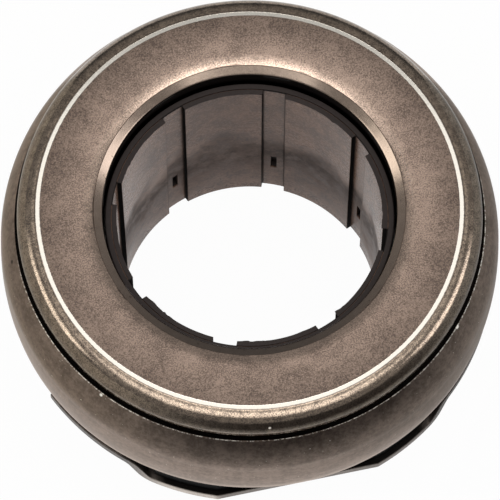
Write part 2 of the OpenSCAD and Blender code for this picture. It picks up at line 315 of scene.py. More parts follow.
class Tree:
    """A node tree under construction, with one method that adds any node."""

    def __init__(self, tree):
        self.tree = tree

    def add(self, kind, settings=None, sockets=None, output=0):
        """Adds a node, sets its settings, then sets or links its sockets, and gives one of its outputs."""
        node = self.tree.nodes.new(kind)
        for name, value in (settings or {}).items():
            setattr(node, name, value)
        for name, value in (sockets or {}).items():
            self.feed(node.inputs[name], value)
        return Signal(self, node.outputs[output])

    def feed(self, socket, value):
        """Links a signal to a socket, or sets the socket to a plain value."""
        if isinstance(value, Signal):
            self.tree.links.new(value.socket, socket)
        else:
            socket.default_value = value

    def split(self, vector):
        """The three parts of a vector."""
        first = self.add("ShaderNodeSeparateXYZ", sockets={0: vector})
        outputs = first.socket.node.outputs
        return [Signal(self, outputs[axis]) for axis in (X, Y, Z)]

    def fade(self, value, start, end):
        """A soft step: 0 below start and 1 above end."""
        return self.add(
            "ShaderNodeMapRange",
            {"interpolation_type": "SMOOTHSTEP"},
            {"Value": value, "From Min": start, "From Max": end},
        )

    def band(self, value, low, high, soft):
        """A soft band: 1 between low and high, and 0 outside."""
        return self.fade(value, low - soft, low + soft) * (1 - self.fade(value, high - soft, high + soft))

    def mix(self, factor, under_ring_shade, over):
        """A colour between two others: under at 0 and over at 1."""
        sockets = {MIX_FACTOR: factor, MIX_UNDER: under_ring_shade, MIX_OVER: over}
        return self.add("ShaderNodeMix", {"data_type": "RGBA"}, sockets, MIX_RESULT)

    def layered(self, colour, *layers):
        """A colour under layers, each a mask and the paint that it lets through, with the last on top."""
        for mask, over in layers:
            colour = self.mix(mask, colour, over)
        return colour

    def noise(self, vector, scale, detail=2.0, roughness=0.5):
        """Cloudy noise from 0 to 1 about a middle of one half."""
        sockets = {"Vector": vector, "Scale": scale, "Detail": detail, "Roughness": roughness}
        return self.add("ShaderNodeTexNoise", {"noise_dimensions": "3D"}, sockets)


class Finish(Tree):
    """A material: one Principled shader, with constants set and varying sockets fed by signals."""

    def __init__(self, name, **constants):
        self.material = bpy.data.materials.new(name)
        self.material.use_nodes = True
        super().__init__(self.material.node_tree)
        self.shader = self.tree.nodes["Principled BSDF"]
        for socket, value in constants.items():
            self.shader.inputs[socket.replace("_", " ")].default_value = value

    def millimetres(self):
        """Object coordinates in millimetres."""
        place = self.add("ShaderNodeTexCoord", output="Object")
        return self.add("ShaderNodeVectorMath", {"operation": "SCALE"}, {0: place, "Scale": 1 / MM})

    def round_axis(self, place):
        """The parts x, y and z of a place, and its distance from the axis: the root of x * x + y * y."""
        x, y, z = self.split(place)
        return x, y, z, (x * x + y * y) ** ROOT

    def stretched(self, place, factors):
        """A place whose three axes are scaled, so that noise on it runs as streaks."""
        return self.add("ShaderNodeVectorMath", {"operation": "MULTIPLY"}, {0: place, 1: factors})

    def mark(self, place, centre, reach):
        """A small mark: 1 at its centre, and 0 from its reach outwards."""
        ends = {0: place, 1: centre}
        apart = self.add("ShaderNodeVectorMath", {"operation": "DISTANCE"}, ends, "Value")
        return 1 - self.fade(apart, reach / 2, reach)

    def set(self, socket, value):
        """Feeds one of the shader's varying sockets."""
        self.feed(self.shader.inputs[socket], value)

    def bump(self, height, strength, depth):
        """Relief: the height signal raises the surface by up to depth metres."""
        sockets = {"Height": height, "Strength": strength, "Distance": depth}
        self.set("Normal", self.add("ShaderNodeBump", sockets=sockets))


def straight(start, end, steps=LONG_STEPS):
    """Points from start towards end, start + share * (end - start), without the end itself."""
    share = np.linspace(0, 1, steps, endpoint=False)[:, None]
    return np.array(start) + share * (np.array(end) - np.array(start))


def arc(centre, radius, first, last, steps=ARC_STEPS):
    """Points centre + radius * (cos a, sin a), as a goes in degrees from first towards last, without it."""
    angle = np.radians(np.linspace(first, last, steps, endpoint=False))
    return np.array(centre) + radius * np.stack([np.cos(angle), np.sin(angle)], 1)


def outline(*corners):
    """A path through corner points: each straight stretch is divided, and its end starts the next one."""
    return np.concatenate([straight(a, b) for a, b in zip(corners[:-1], corners[1:])])


def swing(radius, height, turn):
    """Points at radius r and height z swung round the axis: (r cos t, r sin t, z)."""
    return np.stack([radius * np.cos(turn), radius * np.sin(turn), height + 0 * turn], -1)


def turned(section):
    """A closed section of (radius, height) points carried once round the axis, as rows of points."""
    return swing(section[:, :1], section[:, 1:], EVEN_TURNS[None, :])


def half_turn(width, radius):
    """Half of the angle that a width takes at a radius."""
    return math.asin(width / 2 / radius)


def four_ways(angles):
    """Each angle with its mirror images in the two upright planes through the axis."""
    angle = np.array(angles)
    return np.concatenate([angle, np.pi - angle, np.pi + angle, -angle])


def ring_mesh(name, points):
    """A mesh from a grid of points in millimetres that closes on itself along both of its directions."""
    rows, columns = points.shape[:2]
    row, column = np.meshgrid(np.arange(rows), np.arange(columns), indexing="ij")
    next_row = (row + 1) % rows
    next_column = (column + 1) % columns
    corners = [row * columns + column, row * columns + next_column]
    corners += [next_row * columns + next_column, next_row * columns + column]
    sides = len(corners)
    faces = np.stack(corners, -1).reshape(-1, sides)
    mesh = bpy.data.meshes.new(name)
    mesh.vertices.add(rows * columns)
    mesh.vertices.foreach_set("co", (points * MM).astype(np.float32).ravel())
    mesh.loops.add(faces.size)
    mesh.loops.foreach_set("vertex_index", faces.astype(np.int32).ravel())
    mesh.polygons.add(len(faces))
    mesh.polygons.foreach_set("loop_start", np.arange(0, faces.size, sides, dtype=np.int32))
    mesh.polygons.foreach_set("use_smooth", np.ones(len(faces), bool))
    mesh.update(calc_edges=True)
    weld(mesh)
    mesh.set_sharp_from_angle(angle=SHARP_ANGLE)
    return mesh


def weld(mesh):
    """Joins points that fall on one place, where rows of the grid meet, and drops the empty faces."""
    edit = bmesh.new()
    edit.from_mesh(mesh)
    bmesh.ops.remove_doubles(edit, verts=edit.verts, dist=WELD_REACH)
    edit.to_mesh(mesh)
    edit.free()


def open_mesh(name, points):
    """A mesh from a grid of points in metres that stays open along both of its directions."""
    rows, columns = points.shape[:2]
    row, column = np.meshgrid(np.arange(rows - 1), np.arange(columns - 1), indexing="ij")
    corner = (row * columns + column).reshape(-1, 1)
    faces = corner + np.array([0, columns, columns + 1, 1])
    mesh = bpy.data.meshes.new(name)
    mesh.from_pydata(points.reshape(rows * columns, -1).tolist(), [], faces.tolist())
    return mesh


def stand_in(name, points, node, body, finish):
    """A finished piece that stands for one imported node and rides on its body."""
    piece = bpy.data.objects.new(name, ring_mesh(name, points))
    bpy.context.scene.collection.objects.link(piece)
    piece.data.materials.append(finish)
    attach(piece, body)
    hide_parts(node)


def contact_ring_section():
    """Section of the contact ring, anticlockwise from its rear end: raceway, flange, face and bevel."""
    low_angle = math.degrees(math.acos((PITCH_R - LOW_LAND_R) / TRACK_R))
    neck_angle = math.degrees(math.acos(SHOULDER_INSET / TRACK_R))
    low_z = BALL_Z - TRACK_R * math.sin(math.radians(low_angle))
    neck_z = BALL_Z + TRACK_R * math.sin(math.radians(neck_angle))
    shoulder_r = FLANGE_R - SHOULDER_R
    shoulder_z = FACE_Z - LAND_DROP - SHOULDER_R
    back = outline(
        (CONTACT_BORE_R, CONTACT_END_Z + END_BEVEL),
        (CONTACT_BORE_R + END_BEVEL, CONTACT_END_Z),
        (LOW_LAND_R - END_BEVEL, CONTACT_END_Z),
        (LOW_LAND_R, CONTACT_END_Z + END_BEVEL),
        (LOW_LAND_R, low_z),
    )
    race = arc((PITCH_R, BALL_Z), TRACK_R, 180 + low_angle, 180 - neck_angle, LONG_ARC_STEPS)
    flange = outline((NECK_R, neck_z), (NECK_R, FLANGE_Z), (FLANGE_R, FLANGE_Z), (FLANGE_R, shoulder_z))
    round_shoulder = arc((shoulder_r, shoulder_z), SHOULDER_R, 0, 90, WIDE_ARC_STEPS)
    land = outline((shoulder_r, FACE_Z - LAND_DROP), (LAND_OUT_R, FACE_Z), (LAND_IN_R, FACE_Z))
    return np.concatenate([back, race, flange, round_shoulder, land, contact_face(), contact_bevel()])


def contact_face():
    """The dished face from the land inwards.

    It falls as the square of the way in, and drops once more as a square within the roll-off.
    """
    radius = np.concatenate([
        np.linspace(LAND_IN_R, ROLLOFF_R, LONG_STEPS, endpoint=False),
        np.linspace(ROLLOFF_R, BEVEL_R, ARC_STEPS, endpoint=False),
    ])
    fall = (DISH_DEPTH - ROLLOFF_DROP) * ((LAND_IN_R - radius) / (LAND_IN_R - BEVEL_R)) ** 2
    drop = ROLLOFF_DROP * np.clip((ROLLOFF_R - radius) / ROLLOFF_W, 0, 1) ** 2
    return np.stack([radius, FACE_Z - fall - drop], 1)


def contact_bevel():
    """The bevel from the face to the bore: a small step, a straight slope, a round edge and the wall."""
    angle = math.radians(BEVEL_ANGLE)
    dish_z = FACE_Z - DISH_DEPTH
    step_r = BEVEL_R - BEVEL_STEP_W
    step_z = dish_z - BEVEL_STEP
    edge_r = CONTACT_BORE_R + EDGE_R
    tangent_r = edge_r - EDGE_R * math.sin(angle)
    tangent_z = step_z - (step_r - tangent_r) * math.tan(angle)
    edge_z = tangent_z - EDGE_R * math.cos(angle)
    slope = outline((BEVEL_R, dish_z), (step_r, step_z), (tangent_r, tangent_z))
    edge = arc((edge_r, edge_z), EDGE_R, 90 + BEVEL_ANGLE, 180)
    bore = outline((CONTACT_BORE_R, edge_z), (CONTACT_BORE_R, CONTACT_END_Z + END_BEVEL))
    return np.concatenate([slope, edge, bore])


def outer_ring_foot():
    """The foot from its lower edge to the crown: it leaves its widest place as the square of the way."""
    low_z = RING_Z + FOOT_EDGE_R
    foot_z = np.linspace(low_z, CROWN_Z, WIDE_ARC_STEPS, endpoint=False)
    low_share = (foot_z - BULGE_Z) / (BULGE_Z - RING_Z - FOOT_EDGE_R)
    high_share = (foot_z - BULGE_Z) / (CROWN_Z - BULGE_Z)
    tuck = np.where(foot_z < BULGE_Z, FOOT_TUCK * low_share ** 2, FOOT_BULGE * high_share ** 2)
    edge = arc((BASE_R - FOOT_EDGE_R, low_z), FOOT_EDGE_R, -90, 0)
    return np.concatenate([edge, np.stack([BULGE_R - tuck, foot_z], 1)])


def outer_ring_section():
    """Section of the outer ring, anticlockwise from its foot: crown, lip, mouth, seats and raceway."""
    cavity_r = REAR_SEAT_R - LEDGE_W
    lip_angle = math.degrees(math.asin(CROWN_H / CROWN_R))
    rear_angle = math.degrees(math.acos(SHOULDER_INSET / TRACK_R))
    front_angle = math.degrees(math.acos((FRONT_BORE_R - PITCH_R) / TRACK_R))
    rear_z = BALL_Z - TRACK_R * math.sin(math.radians(rear_angle))
    front_z = BALL_Z + TRACK_R * math.sin(math.radians(front_angle))
    crown = arc((OUTER_R - CROWN_R, CROWN_Z), CROWN_R, 0, lip_angle - CROWN_TRIM_ANGLE, LONG_ARC_STEPS)
    inside = outline(
        (LIP_R - LIP_EDGE, RING_TOP_Z),
        (MOUTH_R + LIP_EDGE, RING_TOP_Z),
        (MOUTH_R, RING_TOP_Z - LIP_EDGE),
        (MOUTH_R, FRONT_SEAL_TOP_Z),
        (FRONT_SEAT_R, FRONT_SEAL_TOP_Z),
        (FRONT_SEAT_R, FRONT_SEAL_Z),
        (FRONT_BORE_R, FRONT_SEAL_Z),
        (FRONT_BORE_R, front_z),
    )
    race = arc((PITCH_R, BALL_Z), TRACK_R, front_angle, -rear_angle, LONG_ARC_STEPS)
    rear = outline(
        (REAR_SEAT_R, rear_z),
        (REAR_SEAT_R, REAR_SEAL_Z),
        (cavity_r, REAR_SEAL_Z),
        (cavity_r, HUB_TOP_Z),
        (HUB_R, HUB_TOP_Z),
        (HUB_R, RING_Z),
        (BASE_R - FOOT_EDGE_R, RING_Z),
    )
    return np.concatenate([outer_ring_foot(), crown, inside, race, rear])


def sleeve_turns():
    """Angles round the sleeve: an even spread, and the corners of each groove, pocket, hook and cheek."""
    corners = (
        (GROOVE_W, BORE_R),
        (GROOVE_W, GROOVE_R),
        (POCKET_W, GROOVE_R),
        (POCKET_W, GROOVE_R + POCKET_DEPTH),
    )
    middles = (np.arange(PAD_COUNT) + 1 / 2) * FULL_TURN / PAD_COUNT
    halves = np.array([half_turn(width, radius) for width, radius in corners])
    grooves = middles[:, None] + np.concatenate([-halves, halves])[None, :]
    mirrored = four_ways([
        math.acos(CHEEK_X / REAR_R),
        math.acos(CHEEK_X / COLLAR_R),
        math.asin(CHEEK_Y / COLLAR_R),
        half_turn(HOOK_W, REAR_R),
        half_turn(HOOK_W, REAR_R + HOOK_OUT),
    ])
    marks = np.concatenate([grooves.ravel(), mirrored]) % FULL_TURN
    spacing = np.abs((EVEN_TURNS[:, None] - marks[None, :] + np.pi) % FULL_TURN - np.pi).min(1)
    return np.unique(np.round(np.concatenate([EVEN_TURNS[spacing > MARK_ROOM], marks]), TURN_DIGITS))


def smooth_noise(turn, count, rng):
    """Noise round the axis: random values at even angles, joined by straight lines, from 0 to 1."""
    knots = rng.random(count)
    return np.interp(turn, np.linspace(0, FULL_TURN, count + 1), np.append(knots, knots[0]))


def flash_reach(turn, groove):
    """How far the flash hangs into the bore: fine noise times patches of it, and none in a groove."""
    rng = np.random.default_rng(FLASH_SEED)
    patches = np.clip(2 * smooth_noise(turn, FLASH_PATCHES, rng) - FLASH_BARE, 0, 1)
    return np.where(groove, 0, FLASH_REACH * patches * smooth_noise(turn, FLASH_KNOTS, rng))


def cheek_radius(side, front):
    """Outside of the cheeks: the least of the collar and two pairs of flats, and never inside the tube."""
    ends = CHEEK_Y / np.maximum(front, NUDGE)
    flanks = CHEEK_X / np.maximum(side, NUDGE)
    return np.maximum(np.minimum(COLLAR_R, np.minimum(ends, flanks)), REAR_R)


def sleeve_points():
    """The sleeve's section at each angle: its radii change at the grooves, pockets, cheeks and hooks."""
    turn = sleeve_turns()
    side = np.abs(np.cos(turn))
    front = np.abs(np.sin(turn))
    pad_turn = FULL_TURN / PAD_COUNT
    off_groove = np.abs((turn % pad_turn) - pad_turn / 2)
    groove = off_groove < half_turn(GROOVE_W, GROOVE_R) + NUDGE
    pocket = off_groove < half_turn(POCKET_W, GROOVE_R + POCKET_DEPTH) + NUDGE
    hooked = front < HOOK_W / 2 / (REAR_R + HOOK_OUT) + NUDGE
    inner = np.where(groove, GROOVE_R, BORE_R)
    deep = np.where(pocket, GROOVE_R + POCKET_DEPTH, inner)
    hook = np.where(hooked, REAR_R + HOOK_OUT, REAR_R)
    cheek = cheek_radius(side, front)
    bevel = np.where(groove, MOULD_EDGE, BORE_BEVEL)
    hook_top = sheet_height(np.array(PLATE_HOLE_R), LUG_Z, BEND_OUT_R, BEND_R) - PLATE_CLEARANCE
    low_pocket = POCKET_Z - POCKET_H / 2
    high_pocket = POCKET_Z + POCKET_H / 2
    ridge_z = SLEEVE_TOP_Z - RIDGE_DROP
    crease_z = np.where(groove, ridge_z, SLEEVE_TOP_Z - CREASE_DEPTH)
    crease_r = np.where(groove, GROOVE_R + 2 * SEAM, GROOVE_R)
    flash_r = inner + SEAM - flash_reach(turn, groove)
    wall_z = ridge_z - FLASH_T - SEAM
    rows = [
        (inner + bevel, 0),
        (REAR_R - REAR_BEVEL, 0),
        (REAR_R, REAR_BEVEL),
        (REAR_R, hook_top - HOOK_L),
        (hook, hook_top),
        (REAR_R, hook_top + SEAM),
        (REAR_R, LUG_TOP_Z),
        (cheek - MOULD_EDGE * (cheek > REAR_R), LUG_TOP_Z + SEAM),
        (cheek, LUG_TOP_Z + MOULD_EDGE),
        (cheek, COLLAR_Z - SEAM),
        (COLLAR_R, COLLAR_Z),
        (COLLAR_R, RING_Z - MOULD_EDGE),
        (COLLAR_R - MOULD_EDGE, RING_Z),
        (FRONT_R, RING_Z),
        (FRONT_R, SLEEVE_TOP_Z - MOULD_EDGE),
        (FRONT_R - MOULD_EDGE, SLEEVE_TOP_Z),
        (GROOVE_R + CREASE_W, SLEEVE_TOP_Z),
        (GROOVE_R + CREASE_W - SEAM, crease_z),
        (crease_r + SEAM, crease_z),
        (crease_r, ridge_z),
        (flash_r, ridge_z),
        (flash_r, ridge_z - FLASH_T),
        (inner, wall_z),
    ]
    rows += [(inner, wall_z - WALL_GROWTH ** step * WALL_STEP) for step in range(WALL_ROWS)]
    rows += [
        (inner, high_pocket),
        (deep, high_pocket - SEAM),
        (deep, low_pocket + SEAM),
        (inner, low_pocket),
        (inner, BORE_BEVEL),
    ]
    radii, heights = zip(*rows)
    radius = np.stack([value + 0 * turn for value in radii])
    height = np.stack([value + 0 * turn for value in heights])
    return swing(radius, height, turn[None, :])


def sheet_height(x, level, low_radius, high_radius):
    """Height of one side of the joggled sheet at a distance x from the middle.

    It is level, bends up, ramps, bends back and is level again. Each bend is a circle, whose radius
    differs by the sheet's thickness between the two sides of the sheet.
    """
    angle = math.radians(JOGGLE_ANGLE)
    rise = TAB_Z - LUG_Z
    low_centre = level + low_radius
    high_centre = level + rise - high_radius
    low_end = LOW_X + low_radius * math.sin(angle)
    high_start = HIGH_X - high_radius * math.sin(angle)
    low_bend = low_centre - np.sqrt(np.clip(low_radius ** 2 - (x - LOW_X) ** 2, 0, None))
    high_bend = high_centre + np.sqrt(np.clip(high_radius ** 2 - (HIGH_X - x) ** 2, 0, None))
    ramp = low_centre - low_radius * math.cos(angle) + (x - low_end) * math.tan(angle)
    return np.select(
        [x <= LOW_X, x <= low_end, x <= high_start, x <= HIGH_X],
        [level, low_bend, ramp, high_bend],
        level + rise,
    )


def bend_lines(low_radius, high_radius):
    """Distances from the middle at which one side of the sheet changes slope, closer in each bend."""
    angle = math.radians(JOGGLE_ANGLE)
    low_end = LOW_X + low_radius * math.sin(angle)
    high_start = HIGH_X - high_radius * math.sin(angle)
    low_lines = np.linspace(LOW_X, low_end, BEND_STEPS)
    return np.concatenate([low_lines, np.linspace(high_start, HIGH_X, BEND_STEPS)])


def plate_points():
    """The fork plate as a closed section at each angle: over the top from hole to rim, then back below.

    The rim is the least of the round rim, the flats and the side cut-outs. Rows follow the bend lines,
    along which x is constant.
    """
    cut = math.radians(SIDE_CUT_ANGLE)
    gap = SEAM / PLATE_R
    marks = four_ways([cut - gap, cut + gap, math.asin(FLAT_Y / PLATE_R)]) % FULL_TURN
    turn = np.unique(np.round(np.concatenate([EVEN_TURNS, marks]), TURN_DIGITS))
    side = np.abs(np.cos(turn))
    front = np.abs(np.sin(turn))
    rim = np.minimum(PLATE_R, FLAT_Y / np.maximum(front, SEAM))
    rim = np.where(front < math.sin(cut), SIDE_CUT_R, rim)
    hole = np.full_like(turn, PLATE_HOLE_R)
    top = (LUG_TOP_Z, BEND_R, BEND_OUT_R)
    bottom = (LUG_Z, BEND_OUT_R, BEND_R)

    def face(level, low_radius, high_radius):
        """One side of the sheet, from its edge at the hole to its edge at the rim."""
        inner = hole + PLATE_EDGE
        lines = bend_lines(low_radius, high_radius)[:, None] / np.maximum(side, SEAM)[None, :]
        middle = np.clip(lines, inner, rim - PLATE_EDGE)
        radius = np.concatenate([inner[None, :], middle, (rim - PLATE_EDGE)[None, :]])
        return radius, sheet_height(radius * side, level, low_radius, high_radius)

    def edge(radius):
        """The sheet's cut edge at a radius, between its two edge breaks."""
        upper = sheet_height(radius * side, *top) - PLATE_EDGE
        lower = sheet_height(radius * side, *bottom) + PLATE_EDGE
        return np.stack([radius, radius]), np.stack([upper, lower])

    top_r, top_z = face(*top)
    low_r, low_z = face(*bottom)
    rim_r, rim_z = edge(rim)
    hole_r, hole_z = edge(hole)
    radius = np.concatenate([hole_r[::-1], top_r, rim_r, low_r[::-1]])
    height = np.concatenate([hole_z[::-1], top_z, rim_z, low_z[::-1]])
    return swing(radius[::-1], height[::-1], turn[None, :])


# Shared by the finishes: a noise is its scale, detail and roughness, and a relief its strength and depth
STREAKS = (1.0, 3.0, 0.6)
EVEN_WEIGHTS = (0.5, 0.5)
CHIP_DULLING = 0.8
# Painted shade for the hollows between the rings.
SHADED = paint(14, 12, 11)

# Ground steel of the contact ring
FACE_GRAIN = (4.6, 2.0, 0.8)
FACE_CLOUD = (0.2, 4.0, 0.65)
FACE_STAIN = (0.9, 4.0, 0.7)
FACE_PATCHES = (0.12, 2.0)
FACE_PITS = (1.3, 2.0, 0.6)
RAGGED_EDGE = (1.6, 3.0, 0.7)
RAGGED_REACH = 0.16
RAGGED_POLISH = 3
RAGGED_CRACK = 2.5
LAND_HEIGHT = (FACE_Z - 0.25, FACE_Z - 0.1)
LAND_BAND = (LAND_IN_R, LAND_OUT_R, 0.03)
SHOULDER_ZONE = (LAND_OUT_R, LAND_OUT_R + 0.15)
ROUND_ZONE = (LAND_OUT_R + 0.9, FLANGE_R - 0.6)
BEVEL_ZONE = (BEVEL_R - 0.05, BEVEL_R + 0.02)
POLISH_ZONE = (BEVEL_R, ROLLOFF_R)
OUTWARD_ZONE = (BEVEL_R, LAND_OUT_R)
CONTACT_BORE_ZONE = (CONTACT_BORE_R + 0.02, CONTACT_BORE_R + 0.2)
SHADE_HEIGHT = (RING_TOP_Z - 0.5, RING_TOP_Z)
CRACK_BAND = (BEVEL_R - 0.02, BEVEL_R + 0.14, 0.05)
PATCH_RANGE = (0.45, 0.6)
PIT_RANGE = (0.64, 0.7)
FACE_WEIGHTS = (0.64, 0.25, 0.11)
FACE_RANGE = (0.39, 0.61)
SHOULDER_WEIGHTS = (0.35, 0.65)
SHOULDER_RANGE = (0.36, 0.64)
POLISH_SHARE = 0.3
CRACK_WEIGHTS = (0.7, 0.6)
FACE_DARK_IN = paint(116, 102, 94)
FACE_DARK_OUT = paint(90, 79, 73)
FACE_LIGHT_IN = paint(188, 166, 152)
FACE_LIGHT_OUT = paint(143, 126, 115)
FACE_POLISHED = paint(176, 160, 146)
SHOULDER_DARK = paint(92, 83, 76)
SHOULDER_LIGHT = paint(164, 149, 134)
BEVEL_DARK = paint(132, 118, 107)
BEVEL_LIGHT = paint(158, 143, 132)
CRACK_DARK = paint(52, 43, 37)
LAND_BRIGHT = paint(250, 246, 237)
NICK_BRIGHT = paint(255, 250, 240)
CONTACT_BORE_SHADE = paint(24, 19, 15)
FACE_ROUGH = 0.34
POLISH_SMOOTHING = 0.15
SHOULDER_ROUGH = 0.19
ROUND_SMOOTHING = 0.08
BEVEL_ROUGH = 0.15
STAIN_ROUGH = 0.06
LAND_ROUGH = 0.1
POLISH_FLATTENING = 0.8
STAIN_RELIEF = 0.12
FACE_RELIEF = (1.0, 0.00003)


def ground_steel():
    """The contact ring: brown-grey blasted face, one bright ground land, polished shoulder and bevel, with
    painted shade down the bore and on the flange.
    """
    steel = Finish("ground_steel")
    place = steel.millimetres()
    _, _, z, radius = steel.round_axis(place)
    grain = steel.noise(place, *FACE_GRAIN)
    cloud = steel.noise(place, *FACE_CLOUD)
    stain = steel.noise(place, *FACE_STAIN)
    ragged = (steel.noise(place, *RAGGED_EDGE) - NOISE_MIDDLE) * RAGGED_REACH
    patchy = steel.fade(steel.noise(place, *FACE_PATCHES), *PATCH_RANGE)
    land = steel.band(radius + ragged, *LAND_BAND) * steel.fade(z, *LAND_HEIGHT)
    shoulder = steel.fade(radius, *SHOULDER_ZONE)
    bevel = 1 - steel.fade(radius, *BEVEL_ZONE)
    polish = 1 - steel.fade(radius + RAGGED_POLISH * ragged, *POLISH_ZONE)
    outward = steel.fade(radius, *OUTWARD_ZONE)
    # Painted shade: on the flange below the outer ring's top, and down the bore wall.
    shaded = 1 - steel.fade(z, *SHADE_HEIGHT)
    bore = 1 - steel.fade(radius, *CONTACT_BORE_ZONE)
    crack = steel.band(radius + RAGGED_CRACK * ragged, *CRACK_BAND) * patchy
    pit = steel.fade(steel.noise(place, *FACE_PITS), *PIT_RANGE) * polish * patchy
    nick = steel.mark(place, *SHOULDER_NICK)

    tone = steel.fade(weighed((grain, cloud, stain), FACE_WEIGHTS), *FACE_RANGE)
    dark = steel.mix(outward, FACE_DARK_IN, FACE_DARK_OUT)
    light = steel.mix(outward, FACE_LIGHT_IN, FACE_LIGHT_OUT)
    shoulder_tone = steel.fade(weighed((stain, grain), SHOULDER_WEIGHTS), *SHOULDER_RANGE)
    steel.set("Base Color", steel.layered(
        steel.mix(tone, dark, light),
        (polish * POLISH_SHARE, FACE_POLISHED),
        (shoulder, steel.mix(shoulder_tone, SHOULDER_DARK, SHOULDER_LIGHT)),
        (bevel, steel.mix(stain, BEVEL_DARK, BEVEL_LIGHT)),
        (weighed((crack, pit), CRACK_WEIGHTS), CRACK_DARK),
        (land, LAND_BRIGHT),
        (nick, NICK_BRIGHT),
        (bore, CONTACT_BORE_SHADE),
        (shaded, SHADED),
    ))
    steel.set("Metallic", 1 - CHIP_DULLING * nick)

    round_off = steel.fade(radius, *ROUND_ZONE)
    shoulder_rough = SHOULDER_ROUGH + STAIN_ROUGH * stain - ROUND_SMOOTHING * round_off
    rough = towards(FACE_ROUGH - POLISH_SMOOTHING * polish, shoulder_rough, shoulder)
    rough = towards(rough, BEVEL_ROUGH + STAIN_ROUGH * stain, bevel)
    steel.set("Roughness", towards(rough, LAND_ROUGH, land))
    blasted = (1 - shoulder) * (1 - bevel) * (1 - land) * (1 - POLISH_FLATTENING * polish)
    steel.bump(grain * blasted + STAIN_RELIEF * stain, *FACE_RELIEF)
    return steel.material


# Satin steel of the outer ring
CROWN_TINT = paint(255, 247, 241)
CROWN_BANDS = (0.03, 0.03, 0.6)
CROWN_STREAKS = (1.1, 1.1, 0.1)
CROWN_BRUSH = (1.5, 4.0, 0.75)
CROWN_STAIN = (0.3, 4.0, 0.65)
CROWN_SPECKS = (2.6, 1.0)
CROWN_WEAR = (2.4, 2.0, 0.8)
SPECK_RANGE = (0.77, 0.79)
WEAR_RANGE = (0.47, 0.55)
HIGHLIGHT_SIDE = (-8, 4)
FOOT_HEIGHT = (RING_Z + 0.2, RING_Z + 2.2)
FOOT_EDGE_HEIGHT = (RING_Z + 0.15, RING_Z + 0.5)
LIP_HEIGHT = (RING_TOP_Z - 0.14, RING_TOP_Z - 0.04)
LIP_ZONE = (MOUTH_R - 0.05, MOUTH_R + 0.02)
MOUTH_ZONE = (MOUTH_R + 0.01, MOUTH_R + 0.05)
CROWN_WEIGHTS = (0.15, 0.35, 0.4, 0.1)
CROWN_RANGE = (0.39, 0.61)
FOOT_SHARE = 0.5
FOOT_EDGE_SHARE = 0.8
CROWN_DARK = paint(104, 92, 84)
CROWN_LIGHT = paint(144, 129, 119)
FOOT_HIGHLIGHT = paint(204, 189, 178)
FOOT_EDGE_HIGHLIGHT = paint(246, 236, 226)
SPECK_PALE = paint(226, 220, 208)
LIP_WEAR_AND_HIGHLIGHT = paint(250, 246, 238)
CHIP_BRIGHT = paint(255, 252, 244)
SPOT_DARK = paint(40, 36, 32)
CROWN_ROUGH = 0.26
CROWN_STAIN_ROUGH = 0.1
CROWN_BRUSH_ROUGH = 0.06
CROWN_RELIEF_WEIGHTS = (0.5, 0.35, 0.15)
CROWN_RELIEF = (0.3, 0.00003)


def satin_steel():
    """The outer ring: dark satin steel, mottled, with faint bands and streaks, a worn lip with a painted
    highlight on its near side, a painted floor reflection along the foot and painted shade in its mouth.
    """
    steel = Finish("satin_steel", Specular_Tint=CROWN_TINT)
    place = steel.millimetres()
    _, y, z, radius = steel.round_axis(place)
    bands = steel.noise(steel.stretched(place, CROWN_BANDS), *STREAKS)
    streak = steel.noise(steel.stretched(place, CROWN_STREAKS), *STREAKS)
    brush = steel.noise(place, *CROWN_BRUSH)
    stain = steel.noise(place, *CROWN_STAIN)
    speck = steel.fade(steel.noise(place, *CROWN_SPECKS), *SPECK_RANGE)
    # The lip is worn bright in patches and painted brighter on the near side only: wear and a painted
    # highlight.
    wear_and_highlight = steel.fade(steel.noise(place, *CROWN_WEAR), *WEAR_RANGE) * (1 - steel.fade(y, *HIGHLIGHT_SIDE))
    # Painted reflection of the floor: the lowest part of the foot, and more so its round lower edge, are
    # painted paler all round.
    foot_highlight = 1 - steel.fade(z, *FOOT_HEIGHT)
    foot_edge_highlight = 1 - steel.fade(z, *FOOT_EDGE_HEIGHT)
    lip = steel.fade(z, *LIP_HEIGHT) * steel.fade(radius, *LIP_ZONE)
    # Painted shade inside the mouth, down into the gap between the rings.
    mouth_shade = 1 - steel.fade(radius, *MOUTH_ZONE)
    chips = steel.mark(place, *CROWN_CHIP) + steel.mark(place, *LIP_NICK)
    spot = steel.mark(place, *CROWN_SPOT)

    tone = steel.fade(weighed((bands, stain, brush, streak), CROWN_WEIGHTS), *CROWN_RANGE)
    steel.set("Base Color", steel.layered(
        steel.mix(tone, CROWN_DARK, CROWN_LIGHT),
        (foot_highlight * FOOT_SHARE, FOOT_HIGHLIGHT),
        (foot_edge_highlight * FOOT_EDGE_SHARE, FOOT_EDGE_HIGHLIGHT),
        (speck, SPECK_PALE),
        (lip * wear_and_highlight, LIP_WEAR_AND_HIGHLIGHT),
        (mouth_shade, SHADED),
        (chips, CHIP_BRIGHT),
        (spot, SPOT_DARK),
    ))
    steel.set("Metallic", 1 - CHIP_DULLING * chips)
    steel.set("Roughness", CROWN_ROUGH + CROWN_STAIN_ROUGH * stain + CROWN_BRUSH_ROUGH * brush)
    steel.bump(weighed((brush, bands, streak), CROWN_RELIEF_WEIGHTS), *CROWN_RELIEF)
    return steel.material


